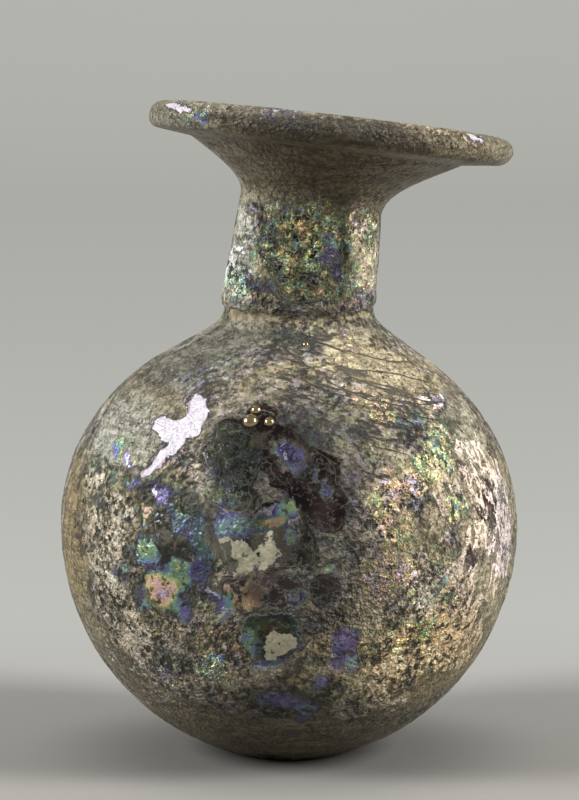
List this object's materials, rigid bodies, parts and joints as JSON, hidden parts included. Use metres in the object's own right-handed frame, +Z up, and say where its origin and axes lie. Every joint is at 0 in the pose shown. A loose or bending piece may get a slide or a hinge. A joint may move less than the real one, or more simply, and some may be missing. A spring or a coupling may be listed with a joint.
{
  "type": "free-blown glass jar",
  "caption": "Globular hand-blown jar on a small flattened foot, with a short leaning neck nipped in at the shoulder and a wide funnel mouth with a thick folded lip.",
  "frame": {"origin": "middle of the resting face under the foot, on the body's upright axis", "axes": "+Z up through the body, -Y towards the front, +X the way the neck leans"},
  "size_m": [0.085, 0.085, 0.1225],
  "materials": {
    "weathered_glass": "dark olive-brown glass, opaque with age, under flaking weathering crust and patches of iridescence"
  },
  "bodies": {
    "root": {"jar": "weathered_glass"}
  },
  "joints": []
}
